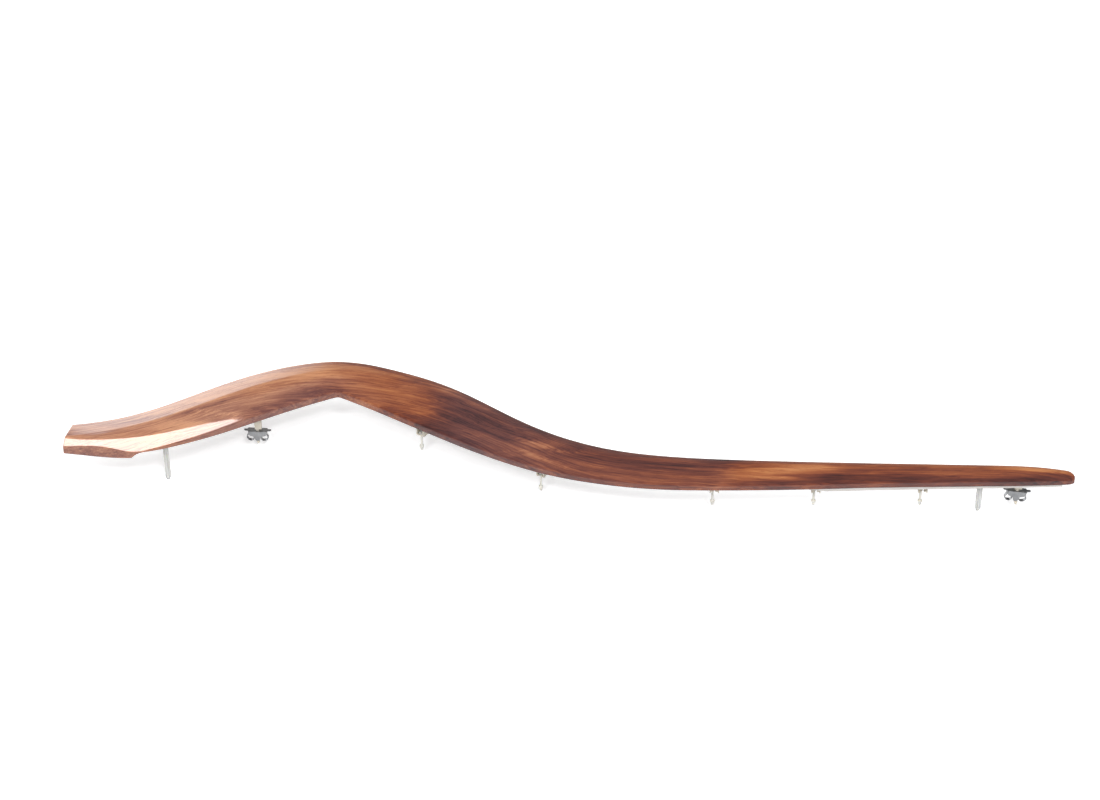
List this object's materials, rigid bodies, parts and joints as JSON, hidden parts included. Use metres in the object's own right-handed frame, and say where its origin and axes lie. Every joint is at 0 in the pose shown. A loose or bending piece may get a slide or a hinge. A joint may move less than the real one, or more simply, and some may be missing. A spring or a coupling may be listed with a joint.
{
  "type": "curved wooden trim rail",
  "caption": "Lacquered hardwood rail with a swooping plan shape on a moulded carrier, with locating posts, spring clips and floating snap pins underneath for push-in fixing.",
  "frame": {"origin": "the middle of the footprint (the centre of the bounding box seen from above), on the plane that the tips of the two locating posts stand on", "axes": "+X along the rail from the wide end to the narrow rounded end, +Y across the rail towards its outer curved edge, +Z out of the lacquered show face; the posts, clips and pins point along -Z"},
  "size_m": [0.9712, 0.2012, 0.0564],
  "materials": {
    "lacquered_hardwood": "high gloss lacquer over figured dark hardwood",
    "carrier_plastic": "moulded, satin",
    "dock_plastic": "moulded, satin beige",
    "natural_nylon": "natural nylon",
    "translucent_plastic": "translucent off-white",
    "spring_steel": "dark phosphated spring steel",
    "zinc_screw": "zinc plated"
  },
  "bodies": {
    "rail": {"backing_carrier": "carrier_plastic", "cap_screw_1": "zinc_screw", "cap_screw_2": "zinc_screw", "cap_screw_3": "zinc_screw", "cap_screw_4": "zinc_screw", "cap_screw_5": "zinc_screw", "cap_screw_6": "zinc_screw", "cap_screw_7": "zinc_screw", "cap_screw_8": "zinc_screw", "cap_screw_9": "zinc_screw", "clip_tower_1": "dock_plastic", "clip_tower_2": "dock_plastic", "dock_screw_1a": "zinc_screw", "dock_screw_1b": "zinc_screw", "dock_screw_2a": "zinc_screw", "dock_screw_2b": "zinc_screw", "dock_screw_3a": "zinc_screw", "dock_screw_3b": "zinc_screw", "dock_screw_4a": "zinc_screw", "dock_screw_4b": "zinc_screw", "dock_screw_5a": "zinc_screw", "dock_screw_5b": "zinc_screw", "locating_post_1": "translucent_plastic", "locating_post_2": "translucent_plastic", "pin_dock_1": "dock_plastic", "pin_dock_2": "dock_plastic", "pin_dock_3": "dock_plastic", "pin_dock_4": "dock_plastic", "pin_dock_5": "dock_plastic", "spring_clip_1": "spring_steel", "spring_clip_2": "spring_steel", "tower_screw_1a": "zinc_screw", "tower_screw_1b": "zinc_screw", "tower_screw_2a": "zinc_screw", "tower_screw_2b": "zinc_screw", "wood_cap": "lacquered_hardwood"},
    "pin_1": {"snap_pin_1": "natural_nylon"},
    "pin_2": {"snap_pin_2": "natural_nylon"},
    "pin_3": {"snap_pin_3": "natural_nylon"},
    "pin_4": {"snap_pin_4": "natural_nylon"},
    "pin_5": {"snap_pin_5": "natural_nylon"}
  },
  "joints": [
    {"name": "pin_float_1", "type": "slide", "parent": "rail", "child": "pin_1", "axis": [0.829, -0.5592, 0], "range_m": [0, 0.0025]},
    {"name": "pin_float_2", "type": "slide", "parent": "rail", "child": "pin_2", "axis": [0.8829, -0.4695, 0], "range_m": [0, 0.0025]},
    {"name": "pin_float_3", "type": "slide", "parent": "rail", "child": "pin_3", "axis": [0.9997, -0.0262, 0], "range_m": [0, 0.0025]},
    {"name": "pin_float_4", "type": "slide", "parent": "rail", "child": "pin_4", "axis": [0.9997, 0.0262, 0], "range_m": [0, 0.0025]},
    {"name": "pin_float_5", "type": "slide", "parent": "rail", "child": "pin_5", "axis": [0.9998, 0.0175, 0], "range_m": [0, 0.0025]}
  ]
}
